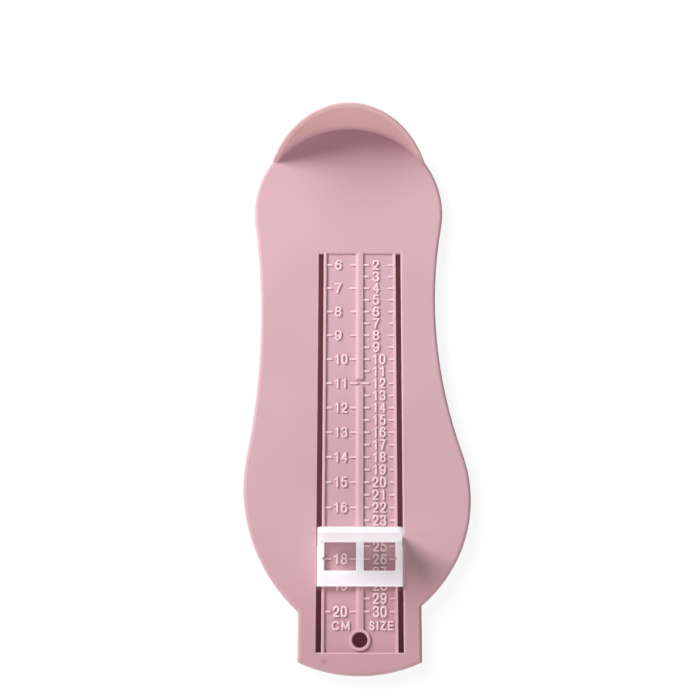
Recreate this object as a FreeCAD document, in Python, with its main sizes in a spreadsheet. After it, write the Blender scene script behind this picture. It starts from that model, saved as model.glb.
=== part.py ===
import FreeCAD, Part
import math
import os
import Sketcher
from FreeCAD import Vector

# Foot measuring device: a foot-shaped moulded board with a heel wall and two slots, a toe
# stop that slides along the slots, and the keeper plate that holds the toe stop down.
#
# Every body is drawn in the scale's own frame. X runs across the board from the middle of
# the scale, +Y points to the heel and Z rises from the table. Y = 0 is the zero of the
# scale, which is the inner foot of the heel wall, so a reading of 60 mm lies at Y = -60.
# The toe stop and its keeper have Y = 0 at the index notches instead.

doc = FreeCAD.newDocument("foot_measuring_device")


# --- driving dimensions, in millimetres ---------------------------------------------------

SIZES = (
    # the board, a shallow moulding that is open underneath
    ("plate_wall", 2.0, "thickness of the top plate"),
    ("skirt_wall", 1.8, "thickness of the skirt that the board stands on"),
    ("edge_round", 1.4, "rounding of the outer top edge"),
    # the foot outline, made of arcs that run into each other
    ("heel_radius", 39.0, "heel end of the outline"),
    ("heel_side", -4.7, "middle of the heel, across from the middle of the scale"),
    ("outer_waist_radius", 305.0, "hollow of the left side"),
    ("outer_ball_radius", 65.0, "ball of the foot, left side"),
    ("outer_ball_side", 19.2, "its middle, across"),
    ("outer_ball_back", 48.8, "its middle, back from the last mark"),
    ("inner_waist_radius", 192.0, "hollow of the right side"),
    ("inner_ball_radius", 53.8, "ball of the foot, right side"),
    ("inner_ball_side", -10.2, "its middle, across"),
    ("inner_ball_back", 44.0, "its middle, back from the last mark"),
    ("tab_margin", 8.6, "from the toe end of the slots to the tip of the tab"),
    ("tab_end_radius", 58.0, "bowed end of the tab"),
    ("tab_corner_round", 0.8, "corners of the tab"),
    ("tab_root_round", 1.2, "inside corners where the tab leaves the ball of the foot"),
    # the upright heel wall
    ("heel_wall", 2.0, "its thickness"),
    ("heel_wall_rise", 22.9, "its height above the board at the back, before its edge is rounded"),
    ("heel_wall_reach", 15.1, "where its slanting top comes down to the board"),
    ("heel_slant_radius", 80.0, "bow of the slanting top"),
    ("heel_wall_round", 0.6, "rounding of its top edges"),
    # the scale channel and the slots on both sides of it
    ("first_mark", 60.0, "reading of the first mark"),
    ("mark_span", 140.0, "from the first mark to the last one"),
    ("slot_lead", 4.85, "from the heel end of the slots to the first mark"),
    ("slot_tail", 15.4, "from the last mark to the toe end of the slots"),
    ("slot_side", 15.78, "middle of a slot, from the middle of the scale"),
    ("slot_width", 2.05, "width of a slot"),
    ("border_rib", 1.25, "rib between the channel and a slot"),
    ("channel_depth", 1.0, "sunken floor, below the foot surface"),
    ("channel_wall", 1.8, "thickness of the sunken floor"),
    ("centre_rib", 3.0, "rib between the two scales"),
    ("centre_rib_upper", 53.3, "length of its heel part"),
    ("centre_rib_gap", 2.6, "gap between its two parts"),
    ("rim_round", 0.3, "rounded or bevelled rims of the channel, the slots and the hole"),
    # graduation marks, raised from the sunken floor
    ("mark_rise", 0.5, "height of a mark"),
    ("mark_width", 0.8, "thickness of a mark"),
    ("mark_length", 2.4, "length of a mark"),
    ("short_mark_length", 1.9, "length of the outer marks of the right scale"),
    ("wide_pitch", 10.0, "left scale, in centimetres"),
    ("close_pitch", 5.0, "right scale, two shoe sizes to a centimetre"),
    # hanging hole
    ("hole_radius", 2.95, "hanging hole"),
    ("hole_boss_wall", 1.2, "ring boss round it"),
    ("hole_margin", 0.6, "from the boss to the toe end of the channel"),
    # the round mark that an ejector pin leaves on the tab
    ("pin_mark_radius", 1.0, "pin mark"),
    ("pin_mark_depth", 0.12, "how far it is sunk"),
    ("pin_mark_side", 13.5, "its middle, left of the middle of the scale"),
    ("pin_mark_tail", 3.4, "its middle, from the toe end of the slots"),
    # stiffening ribs under the board
    ("rib_wall", 1.3, "thickness of the ribs"),
    ("rib_clear", 1.2, "the ribs end this far above the table"),
    ("rib_lead", 7.1, "from the rib that joins the long ribs to the heel end of the slots"),
    ("rib_tail", 2.0, "the long ribs run this far past the last mark"),
    ("rib_count", 4, "cross ribs on each side"),
    ("tab_rib_gap", 1.4, "from a long rib to the skirt of the tab"),
    # the toe stop, whose frame lies on the board and whose legs go through the slots
    ("slider_back", 20.0, "the slider stands this far back from the last mark"),
    ("run_gap", 0.15, "running gap between slider and board, up and down"),
    ("slot_gap", 0.2, "running gap between a leg and each side of its slot"),
    ("end_gap", 0.1, "from a leg to the end of its slot when the slider is at its stop"),
    ("frame_inset", 0.35, "the frame's sides lie this far inside the slots' outer sides"),
    ("frame_wall", 2.0, "thickness of the frame"),
    ("frame_ahead", 9.3, "from the index to the face that the toes touch"),
    ("frame_behind", 10.6, "from the index to the toe end of the frame"),
    ("frame_bevel", 0.25, "bevelled edges of the frame and its windows"),
    ("stop_wall", 2.4, "thickness of the stop"),
    ("stop_rise", 25.0, "top of the stop above the board"),
    ("stop_taper", 0.55, "each side of the stop leans in by this"),
    ("stop_corner_round", 2.2, "its top corners"),
    ("stop_edge_round", 0.5, "its edges"),
    ("stop_ledge", 0.6, "from the stop to the windows"),
    ("stop_foot_round", 0.3, "fillet between stop and frame"),
    ("toe_bar", 5.9, "bar at the toe end of the windows"),
    ("side_bar", 2.7, "bar outside each window"),
    ("window_bar", 3.0, "bar between the two windows"),
    ("notch_depth", 0.9, "index notches in the outer sides of the windows"),
    ("notch_width", 1.6, "width of an index notch"),
    # the legs' barbs and the keeper plate that they hold
    ("leg_clear", 0.9, "table to the tips of the legs"),
    ("barb_reach", 0.45, "a barb stands out from its leg by this"),
    ("barb_rise", 0.9, "height of a barb"),
    ("barb_lead", 0.35, "the leg's tip is this much slimmer, to find the keeper's hole"),
    ("barb_gap", 0.05, "play of the keeper on the barbs"),
    ("keeper_wall", 1.2, "thickness of the keeper"),
    ("keeper_rim", 1.6, "keeper material round each leg"),
    ("keeper_gap", 0.1, "gap between a leg and the keeper's hole"),
    ("keeper_corner_round", 1.2, "corners of the keeper"),
    ("keeper_side_gap", 1.0, "from the keeper to the long ribs on both sides"),
)

sheet = doc.addObject("Spreadsheet::Sheet", "size")
for row, (alias, value, meaning) in enumerate(SIZES, start=1):
    sheet.set(f"A{row}", meaning)
    sheet.set(f"B{row}", str(value))
    sheet.setAlias(f"B{row}", alias)
doc.recompute()

# Places that follow from the sheet, as expressions that sketches and features are bound to.
# Heights, from the table up: the legs' tips, the keeper, the channel strip, the foot surface.
leg_tip = "size.leg_clear"
barb_top = f"({leg_tip} + size.barb_rise)"
keeper_under = f"({barb_top} + size.barb_gap)"
keeper_top = f"({keeper_under} + size.keeper_wall)"
channel_under = f"({keeper_top} + size.run_gap)"
channel_floor = f"({channel_under} + size.channel_wall)"
board_top = f"({channel_floor} + size.channel_depth)"
plate_under = f"({board_top} - size.plate_wall)"
frame_under = f"({board_top} + size.run_gap)"
frame_top = f"({frame_under} + size.frame_wall)"
wall_top = f"({board_top} + size.heel_wall_rise)"
stop_top = f"({board_top} + size.stop_rise)"

# Readings, along the board from the zero of the scale towards the toes.
last_mark = "(size.first_mark + size.mark_span)"
slot_start = "(size.first_mark - size.slot_lead)"
slot_end = f"({last_mark} + size.slot_tail)"
centre_rib_stop = f"({slot_start} + size.centre_rib_upper)"
centre_rib_restart = f"({centre_rib_stop} + size.centre_rib_gap)"
hole_reading = f"({slot_end} - size.hole_margin - size.hole_boss_wall - size.hole_radius)"
heel_inside = "(size.heel_radius - size.heel_wall)"
tab_tip = f"({slot_end} + size.tab_margin)"
rib_heel = f"({slot_start} - size.rib_lead)"
rib_toe = f"({last_mark} + size.rib_tail)"
rib_pitch = f"(({rib_toe} - {rib_heel}) / (size.rib_count + 1))"
slider_reading = f"({last_mark} - size.slider_back)"

# Distances across, from the middle of the scale.
slot_inside = "(size.slot_side - size.slot_width / 2)"
slot_outside = "(size.slot_side + size.slot_width / 2)"
channel_side = f"({slot_inside} - size.border_rib)"
leg_inside = f"({slot_inside} + size.slot_gap)"
leg_outside = f"({slot_outside} - size.slot_gap)"
frame_side = f"({slot_outside} - size.frame_inset)"
window_side = f"({frame_side} - size.side_bar)"
keeper_side = f"({leg_outside} + size.keeper_rim)"
rib_side = f"({keeper_side} + size.keeper_side_gap + size.rib_wall / 2)"
tab_side = f"({rib_side} + size.rib_wall / 2 + size.tab_rib_gap + size.skirt_wall)"

# Distances along the slider, from its index towards the heel or the toes.
stop_back = "(size.frame_ahead - size.stop_wall)"
window_ahead = f"({stop_back} - size.stop_ledge)"
window_behind = "(size.frame_behind - size.toe_bar)"
leg_ahead = "(size.slot_lead - size.end_gap)"
leg_behind = "(size.frame_behind - size.frame_bevel)"

# The fillet and the bevel that share the narrow ledge between the stop and the windows.
stop_foot_fillet = "min(size.stop_foot_round; size.stop_ledge / 2)"
frame_bevel = "min(size.frame_bevel; size.stop_ledge * 2 / 5)"

# The model's origin lies on the table, under the middle of the board's own box.
origin_across = ("(size.outer_ball_radius - size.outer_ball_side"
                 " - size.inner_ball_radius - size.inner_ball_side) / 2")
origin_along = f"({tab_tip} - size.heel_wall) / 2"


# --- drawing helpers ----------------------------------------------------------------------

CLOSE = 0.001  # places nearer than this count as one
SHARES = (0, 0.25, 0.5, 0.75, 1)  # where an edge is looked at, as shares of its length


def number(text):
    """The present value of an expression, for the first drawing of a sketch."""
    return float(sheet.evalExpression(text))


def same(first, second):
    return abs(first - second) < CLOSE


def new_body(name):
    body = doc.addObject("PartDesign::Body", name)
    body.Label = name
    return body


def new_feature(body, kind, name, **settings):
    feature = body.newObject(f"PartDesign::{kind}", name)
    for setting, value in settings.items():
        setattr(feature, setting, value)
    return feature


def origin_part(body, role):
    return next(part for part in body.Origin.OriginFeatures if part.Role == role)


def new_sketch(body, name, lift=None, role="XY_Plane"):
    """A sketch on one of the body's own origin planes, moved along its normal by lift."""
    sketch = body.newObject("Sketcher::SketchObject", name)
    sketch.AttachmentSupport = [(origin_part(body, role), "")]
    sketch.MapMode = "FlatFace"
    if lift:
        sketch.setExpression("AttachmentOffset.Base.z", lift)
    return sketch


def relate(sketch, kind, *where):
    sketch.addConstraint(Sketcher.Constraint(kind, *where))


def dimension(sketch, name, text, kind, *where):
    """A named driving dimension, bound to an expression of the sheet."""
    index = sketch.addConstraint(Sketcher.Constraint(kind, *where, number(text)))
    sketch.renameConstraint(index, name)
    sketch.setExpression(f"Constraints.{name}", text)


def place_point(sketch, name, geometry, point, across, along):
    """Holds a point of the geometry at its distances from the sketch origin."""
    dimension(sketch, f"{name}_across", across, "DistanceX", -1, 1, geometry, point)
    dimension(sketch, f"{name}_along", along, "DistanceY", -1, 1, geometry, point)


def polygon(sketch, name, corners):
    """A closed loop of straight lines, with each corner held at its two distances."""
    points = [Vector(number(across), number(along), 0) for across, along in corners]
    first = sketch.GeometryCount
    for start, end in zip(points, points[1:] + points[:1]):
        sketch.addGeometry(Part.LineSegment(start, end), False)
    for step, (across, along) in enumerate(corners):
        following = first + (step + 1) % len(corners)
        relate(sketch, "Coincident", first + step, 2, following, 1)
        place_point(sketch, f"{name}_{step}", first + step, 1, across, along)


def rectangle(sketch, name, left, right, low, high):
    polygon(sketch, name, [(left, low), (right, low), (right, high), (left, high)])


def circle(sketch, name, radius, across, along):
    middle = Vector(number(across), number(along), 0)
    index = sketch.addGeometry(Part.Circle(middle, Vector(0, 0, 1), number(radius)), False)
    place_point(sketch, name, index, 3, across, along)
    dimension(sketch, f"{name}_radius", radius, "Radius", index)


def arc_between(sketch, middle, start, end):
    """An arc that runs anticlockwise about its middle from start to end."""
    first = math.atan2(start.y - middle.y, start.x - middle.x)
    last = math.atan2(end.y - middle.y, end.x - middle.x)
    if last < first:
        last += 2 * math.pi
    round_line = Part.Circle(middle, Vector(0, 0, 1), (start - middle).Length)
    return sketch.addGeometry(Part.ArcOfCircle(round_line, first, last), False)


def line_between(sketch, start, end):
    return sketch.addGeometry(Part.LineSegment(start, end), False)


def pad(body, name, sketch, length):
    feature = new_feature(body, "Pad", name, Profile=sketch)
    feature.setExpression("Length", length)
    return feature


def pocket(body, name, sketch, length, upwards=False):
    feature = new_feature(body, "Pocket", name, Profile=sketch, Reversed=upwards)
    feature.setExpression("Length", length)


def cut_through(body, name, sketch):
    """A cut through the whole body, both ways from its sketch."""
    new_feature(body, "Pocket", name, Profile=sketch, Type="ThroughAll", SideType="Symmetric")


def row_of_copies(body, name, original, length, count):
    """Copies of a feature in a row towards the toes, over the given length."""
    row_direction = (origin_part(body, "Y_Axis"), [""])
    feature = new_feature(body, "LinearPattern", name, Originals=[original],
                          Direction=row_direction, Reversed=True)
    feature.setExpression("Length", length)
    feature.setExpression("Occurrences", count)
    body.Tip = feature


def mirror_across(body, name, originals):
    """Copies features to the other side of the middle of the scale."""
    feature = new_feature(body, "Mirrored", name, Originals=originals,
                          MirrorPlane=(origin_part(body, "YZ_Plane"), [""]))
    body.Tip = feature


def edges_that(body, test):
    """The body's edges whose sampled points pass the test, as a fillet or chamfer takes them."""
    doc.recompute()
    chosen = []
    for count, edge in enumerate(body.Tip.Shape.Edges, start=1):
        low, high = edge.ParameterRange
        points = [edge.valueAt(low + (high - low) * share) for share in SHARES]
        if test(points):
            chosen.append(f"Edge{count}")
    return (body.Tip, chosen)


def round_edges(body, name, radius, test):
    feature = new_feature(body, "Fillet", name, Base=edges_that(body, test))
    feature.setExpression("Radius", radius)


def bevel_edges(body, name, size, test):
    feature = new_feature(body, "Chamfer", name, Base=edges_that(body, test))
    feature.setExpression("Size", size)


def join_body(body, name, tool, kind="Fuse"):
    """Joins a helper body to this one, or with Common keeps what the two share."""
    feature = new_feature(body, "Boolean", name, Type=kind)
    feature.setObjects([tool])
    body.Tip = feature


def all_at(points, axis, value):
    return all(same(getattr(point, axis), value) for point in points)


def halfway(points):
    return points[len(points) // 2]


# --- the foot outline ---------------------------------------------------------------------

def waist_middle(heel, to_heel, ball, to_ball, side):
    """Middle of a waist arc, from its distances to the middles of the heel and the ball."""
    across = ball - heel
    along = (to_heel ** 2 - to_ball ** 2 + across.Length ** 2) / (2 * across.Length)
    forward = across / across.Length
    aside = Vector(-forward.y, forward.x, 0) * side
    return heel + forward * along + aside * math.sqrt(to_heel ** 2 - along ** 2)


def outline_sketch(body, name, inset="0"):
    """The foot outline, or the same outline drawn in by inset all round."""
    sketch = new_sketch(body, name)
    heel = Vector(number("size.heel_side"), -number(heel_inside), 0)
    heel_radius = number(f"size.heel_radius - {inset}")
    half_tab = number(f"{tab_side} - {inset}")
    tab_middle = Vector(0, number(f"size.tab_end_radius - {tab_tip}"), 0)
    tab_radius = number(f"size.tab_end_radius - {inset}")
    tab_corner_along = tab_middle.y - math.sqrt(tab_radius ** 2 - half_tab ** 2)

    # one side after the other: where its arcs touch, and its ball, waist and tab
    sides = {}
    for label, side in (("inner", 1), ("outer", -1)):
        ball = Vector(number(f"size.{label}_ball_side"),
                      number(f"size.{label}_ball_back - {last_mark}"), 0)
        ball_radius = number(f"size.{label}_ball_radius - {inset}")
        waist_radius = number(f"size.{label}_waist_radius + {inset}")
        waist = waist_middle(heel, heel_radius + waist_radius,
                             ball, ball_radius + waist_radius, side)
        root_along = ball.y - math.sqrt(ball_radius ** 2 - (side * half_tab - ball.x) ** 2)
        sides[label] = {
            "ball": ball,
            "waist": waist,
            "heel_touch": heel + (waist - heel) * heel_radius / (waist - heel).Length,
            "ball_touch": ball + (waist - ball) * ball_radius / (waist - ball).Length,
            "tab_root": Vector(side * half_tab, root_along, 0),
            "tab_corner": Vector(side * half_tab, tab_corner_along, 0),
        }
    right = sides["inner"]
    left = sides["outer"]

    heel_arc = arc_between(sketch, heel, right["heel_touch"], left["heel_touch"])
    left_waist = arc_between(sketch, left["waist"], left["ball_touch"], left["heel_touch"])
    left_ball = arc_between(sketch, left["ball"], left["ball_touch"], left["tab_root"])
    left_tab = line_between(sketch, left["tab_root"], left["tab_corner"])
    tab_arc = arc_between(sketch, tab_middle, left["tab_corner"], right["tab_corner"])
    right_tab = line_between(sketch, right["tab_corner"], right["tab_root"])
    right_ball = arc_between(sketch, right["ball"], right["tab_root"], right["ball_touch"])
    right_waist = arc_between(sketch, right["waist"], right["heel_touch"], right["ball_touch"])

    relate(sketch, "Tangent", heel_arc, 2, left_waist, 2)
    relate(sketch, "Tangent", left_waist, 1, left_ball, 1)
    relate(sketch, "Coincident", left_ball, 2, left_tab, 1)
    relate(sketch, "Coincident", left_tab, 2, tab_arc, 1)
    relate(sketch, "Coincident", tab_arc, 2, right_tab, 1)
    relate(sketch, "Coincident", right_tab, 2, right_ball, 1)
    relate(sketch, "Tangent", right_ball, 2, right_waist, 2)
    relate(sketch, "Tangent", right_waist, 1, heel_arc, 1)
    relate(sketch, "Vertical", left_tab)
    relate(sketch, "Vertical", right_tab)

    place_point(sketch, "heel", heel_arc, 3, "size.heel_side", f"-{heel_inside}")
    dimension(sketch, "heel_radius", f"size.heel_radius - {inset}", "Radius", heel_arc)
    for label, ball_arc, waist_arc in (("inner", right_ball, right_waist),
                                       ("outer", left_ball, left_waist)):
        place_point(sketch, f"{label}_ball", ball_arc, 3,
                    f"size.{label}_ball_side", f"size.{label}_ball_back - {last_mark}")
        dimension(sketch, f"{label}_ball_radius",
                  f"size.{label}_ball_radius - {inset}", "Radius", ball_arc)
        dimension(sketch, f"{label}_waist_radius",
                  f"size.{label}_waist_radius + {inset}", "Radius", waist_arc)
    place_point(sketch, "tab_end", tab_arc, 3, "0", f"size.tab_end_radius - {tab_tip}")
    dimension(sketch, "tab_end_radius", f"size.tab_end_radius - {inset}", "Radius", tab_arc)
    for name_of_side, tab_line, sign in (("tab_left", left_tab, "-"), ("tab_right", right_tab, "")):
        dimension(sketch, name_of_side, f"{sign}({tab_side} - {inset})", "DistanceX",
                  -1, 1, tab_line, 1)
    return sketch


# --- the heel wall ------------------------------------------------------------------------

def make_heel_wall():
    """A ring on the heel's own circle, cut down along a bowed slant towards the toes."""
    body = new_body("heel_wall_form")
    ring = new_sketch(body, "wall_ring", lift=plate_under)
    circle(ring, "outside", "size.heel_radius", "size.heel_side", f"-{heel_inside}")
    circle(ring, "inside", heel_inside, "size.heel_side", f"-{heel_inside}")
    pad(body, "wall_blank", ring, "size.plate_wall + size.heel_wall_rise + size.heel_wall")

    # In this upright sketch, across is the board's Y and along is its Z.
    slant = new_sketch(body, "wall_slant", role="YZ_Plane")
    back_top = Vector(number("size.heel_wall"), number(wall_top), 0)
    foot = Vector(number("-size.heel_wall_reach"), number(board_top), 0)
    radius = number("size.heel_slant_radius")
    chord = foot - back_top
    aside = Vector(-chord.y, chord.x, 0) / chord.Length
    middle = (back_top + foot) / 2 + aside * math.sqrt(radius ** 2 - (chord.Length / 2) ** 2)
    floor = number(plate_under)
    lowest = Vector(middle.x - math.sqrt(radius ** 2 - (floor - middle.y) ** 2), floor, 0)
    above_wall = f"{wall_top} + 2 * size.heel_wall"
    past_ring = "-2 * size.heel_radius"
    above = number(above_wall)
    past = number(past_ring)
    bow = arc_between(slant, middle, back_top, lowest)
    corners = (back_top, Vector(back_top.x, above, 0), Vector(past, above, 0),
               Vector(past, floor, 0), lowest)
    lines = [line_between(slant, start, end) for start, end in zip(corners, corners[1:])]
    relate(slant, "Coincident", bow, 1, lines[0], 1)
    for line, following in zip(lines, lines[1:]):
        relate(slant, "Coincident", line, 2, following, 1)
    relate(slant, "Coincident", lines[-1], 2, bow, 2)
    for line, kind in zip(lines, ("Vertical", "Horizontal", "Vertical", "Horizontal")):
        relate(slant, kind, line)
    place_point(slant, "back_top", bow, 1, "size.heel_wall", wall_top)
    place_point(slant, "clear", lines[1], 2, past_ring, above_wall)
    dimension(slant, "lowest", plate_under, "DistanceY", -1, 1, bow, 2)
    dimension(slant, "bow_radius", "size.heel_slant_radius", "Radius", bow)
    foot_point = slant.addGeometry(Part.Point(foot), True)
    place_point(slant, "foot", foot_point, 1, "-size.heel_wall_reach", board_top)
    relate(slant, "PointOnObject", foot_point, 1, bow)
    cut_through(body, "wall_slope", slant)

    def on_slant(points):
        on_bow = all(same(math.hypot(point.y - middle.x, point.z - middle.y), radius)
                     for point in points)
        return on_bow and halfway(points).z > foot.y

    round_edges(body, "wall_edge", "size.heel_wall_round", on_slant)
    return body


# --- the stiffening ribs under the board --------------------------------------------------

def make_ribs():
    """Two long ribs, cross ribs, the rib that joins them and one that runs to the heel."""
    body = new_body("rib_form")
    rise = f"{plate_under} - size.rib_clear"
    half_wall = "size.rib_wall / 2"

    def add_rib(name, left, right, low, high):
        plan = new_sketch(body, f"{name}_plan", lift="size.rib_clear")
        rectangle(plan, name, left, right, low, high)
        return pad(body, name, plan, rise)

    long_rib = add_rib("long_rib", f"{rib_side} - {half_wall}", f"{rib_side} + {half_wall}",
                       f"-{rib_toe}", f"-{rib_heel}")
    mirror_across(body, "other_long_rib", [long_rib])
    first_low = f"-{rib_heel} - {rib_pitch} - {half_wall}"
    first_high = f"-{rib_heel} - {rib_pitch} + {half_wall}"
    right_rib = add_rib("right_cross_rib", rib_side, "size.outer_ball_radius",
                        first_low, first_high)
    left_rib = add_rib("left_cross_rib", "-size.outer_ball_radius", f"-{rib_side}",
                       first_low, first_high)
    for name, first in (("right_cross_ribs", right_rib), ("left_cross_ribs", left_rib)):
        row_of_copies(body, name, first, f"{rib_pitch} * (size.rib_count - 1)", "size.rib_count")
    add_rib("joining_rib", f"-{rib_side} - {half_wall}", f"{rib_side} + {half_wall}",
            f"-{rib_heel} - {half_wall}", f"{half_wall} - {rib_heel}")
    add_rib("heel_rib", f"size.heel_side - {half_wall}", f"size.heel_side + {half_wall}",
            f"-{rib_heel}", heel_inside)

    bounds = new_body("rib_bounds_form")
    trim = outline_sketch(bounds, "rib_outline", "size.skirt_wall / 2")
    pad(bounds, "rib_bounds", trim, board_top)
    join_body(body, "trimmed_ribs", bounds, "Common")
    return body


# --- the measuring board ------------------------------------------------------------------

def make_marks(body, name, pitch, side, side_length):
    """Two marks at the first reading of one scale, repeated down its length.

    Their outer ends run into the border rib and their inner ends into the centre rib.
    """
    plan = new_sketch(body, f"{name}_plan", lift=channel_floor)
    low = "-size.first_mark - size.mark_width / 2"
    high = "size.mark_width / 2 - size.first_mark"
    spans = {
        "border": (f"{channel_side} - {side_length}", f"{channel_side} + size.border_rib / 2"),
        "centre": ("size.centre_rib / 4", "size.centre_rib / 2 + size.mark_length"),
    }
    for label, (near, far) in spans.items():
        if side < 0:
            near, far = f"-({far})", f"-({near})"
        rectangle(plan, label, near, far, low, high)
    first = pad(body, f"first_{name}", plan, "size.mark_rise")
    row_of_copies(body, name, first, "size.mark_span", f"round(size.mark_span / {pitch}) + 1")


def make_board():
    body = new_body("measuring_board")
    rise = number(board_top)
    half_tab = number(tab_side)
    corners_start = -number(slot_end)

    # the foot-shaped block, with its corners and top edge rounded
    pad(body, "board_blank", outline_sketch(body, "outline"), board_top)

    def upright_at_tab(points):
        return all_at(points, "x", points[0].x) and same(abs(points[0].x), half_tab) \
            and all_at(points, "y", points[0].y)

    round_edges(body, "tab_corners", "size.tab_corner_round",
                lambda points: upright_at_tab(points) and points[0].y < corners_start)
    round_edges(body, "tab_roots", "size.tab_root_round",
                lambda points: upright_at_tab(points) and points[0].y > corners_start)
    round_edges(body, "top_edge", "size.edge_round", lambda points: all_at(points, "z", rise))

    # hollowed from below to a plate and a skirt
    hollow = outline_sketch(body, "hollow_outline", "size.skirt_wall")
    pocket(body, "hollow", hollow, plate_under, upwards=True)

    # the sunken scale channel, with a deeper strip below it to keep its floor thick
    strip = new_sketch(body, "strip_plan", lift=channel_under)
    rectangle(strip, "strip", f"-{slot_inside}", slot_inside,
              f"-{slot_end} - size.plate_wall", f"size.plate_wall - {slot_start}")
    pad(body, "channel_strip", strip, f"{plate_under} - {channel_under}")
    channel = new_sketch(body, "channel_plan", lift=board_top)
    rectangle(channel, "channel", f"-{channel_side}", channel_side,
              f"-{slot_end}", f"-{slot_start}")
    pocket(body, "channel", channel, "size.channel_depth")

    # the centre rib in two lengths, and the ring boss of the hanging hole at its toe end
    half_rib = "size.centre_rib / 2"
    centre_rib = new_sketch(body, "centre_rib_plan", lift=channel_floor)
    rectangle(centre_rib, "upper", f"-{half_rib}", half_rib,
              f"-{centre_rib_stop}", f"-{slot_start}")
    rectangle(centre_rib, "lower", f"-{half_rib}", half_rib,
              f"-{hole_reading}", f"-{centre_rib_restart}")
    pad(body, "centre_rib", centre_rib, "size.channel_depth")
    boss = new_sketch(body, "boss_plan", lift=channel_floor)
    circle(boss, "boss", "size.hole_radius + size.hole_boss_wall", "0", f"-{hole_reading}")
    pad(body, "hole_boss", boss, "size.channel_depth")

    # the two slots and the hanging hole, cut right through
    slots = new_sketch(body, "slot_plan")
    rectangle(slots, "left", f"-{slot_outside}", f"-{slot_inside}",
              f"-{slot_end}", f"-{slot_start}")
    rectangle(slots, "right", slot_inside, slot_outside, f"-{slot_end}", f"-{slot_start}")
    cut_through(body, "slots", slots)
    hole = new_sketch(body, "hole_plan")
    circle(hole, "hole", "size.hole_radius", "0", f"-{hole_reading}")
    cut_through(body, "hanging_hole", hole)

    pin_mark = new_sketch(body, "pin_mark_plan", lift=board_top)
    circle(pin_mark, "pin_mark", "size.pin_mark_radius", "-size.pin_mark_side",
           f"-{slot_end} - size.pin_mark_tail")
    pocket(body, "pin_mark", pin_mark, "size.pin_mark_depth")

    # rounded rims on the channel, its ribs, the boss and the slots, and a bevelled hole
    reach = number(slot_outside)
    toe = -number(slot_end)
    heel = -number(slot_start)

    hole_along = -number(hole_reading)
    hole_radius = number("size.hole_radius")

    def on_hole(points):
        return all_at(points, "z", rise) and all(
            same(math.hypot(point.x, point.y - hole_along), hole_radius) for point in points)

    def on_rim(points):
        inside = all(abs(point.x) < reach + CLOSE and toe - CLOSE < point.y < heel + CLOSE
                     for point in points)
        return inside and all_at(points, "z", rise) and not on_hole(points)

    round_edges(body, "rims", "size.rim_round", on_rim)
    bevel_edges(body, "hole_rim", "size.rim_round", on_hole)

    join_body(body, "with_ribs", make_ribs())
    join_body(body, "with_heel_wall", make_heel_wall())

    make_marks(body, "wide_marks", "size.wide_pitch", -1, "size.mark_length")
    make_marks(body, "close_marks", "size.close_pitch", 1, "size.short_mark_length")
    return body


# --- the toe stop and its keeper ----------------------------------------------------------

def make_slider():
    body = new_body("toe_stop_slider")

    # the low frame with its two windows; a notch in the side of each marks the reading
    frame = new_sketch(body, "frame_plan", lift=frame_under)
    rectangle(frame, "frame", f"-{frame_side}", frame_side,
              "-size.frame_behind", "size.frame_ahead")
    for label, sign in (("left", "-"), ("right", "")):
        inside = f"{sign}size.window_bar / 2"
        outside = f"{sign}{window_side}"
        notch = f"{sign}({window_side} + size.notch_depth)"
        polygon(frame, f"{label}_window", [
            (inside, f"-{window_behind}"), (outside, f"-{window_behind}"),
            (outside, "-size.notch_width / 2"), (notch, "0"), (outside, "size.notch_width / 2"),
            (outside, window_ahead), (inside, window_ahead)])
    pad(body, "frame", frame, "size.frame_wall")

    # the upright stop at the heel end of the frame, drawn from the front
    stop = new_sketch(body, "stop_front", lift="-size.frame_ahead", role="XZ_Plane")
    top_side = f"({frame_side} - size.stop_taper)"
    polygon(stop, "stop", [(f"-{frame_side}", frame_under), (frame_side, frame_under),
                           (frame_side, frame_top), (top_side, stop_top),
                           (f"-{top_side}", stop_top), (f"-{frame_side}", frame_top)])
    pad(body, "stop", stop, "size.stop_wall")
    top = number(stop_top)
    front = number("size.frame_ahead")
    back = number(stop_back)
    ledge = number(frame_top)
    above_foot = ledge + number("size.stop_foot_round") + CLOSE
    round_edges(body, "stop_foot", stop_foot_fillet,
                lambda points: all_at(points, "y", back) and all_at(points, "z", ledge))
    round_edges(body, "stop_corners", "size.stop_corner_round",
                lambda points: all_at(points, "z", top) and all_at(points, "x", points[0].x)
                and not same(points[0].y, points[-1].y))
    round_edges(body, "stop_edges", "size.stop_edge_round",
                lambda points: (all_at(points, "y", front) or all_at(points, "y", back))
                and halfway(points).z > above_foot)
    bevel_edges(body, "frame_edges", frame_bevel,
                lambda points: all_at(points, "z", ledge))

    # a leg with an outward barb, drawn from the front, and the same on the other side
    leg = new_sketch(body, "leg_front", lift=f"-{leg_ahead}", role="XZ_Plane")
    root = f"{frame_under} + size.frame_wall / 2"
    polygon(leg, "leg", [
        (leg_inside, root), (leg_inside, leg_tip),
        (f"{leg_outside} - size.barb_lead", leg_tip),
        (f"{leg_outside} + size.barb_reach", barb_top), (leg_outside, barb_top),
        (leg_outside, root)])
    right_leg = pad(body, "right_leg", leg, f"{leg_ahead} + {leg_behind}")
    mirror_across(body, "left_leg", [right_leg])
    return body


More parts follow.
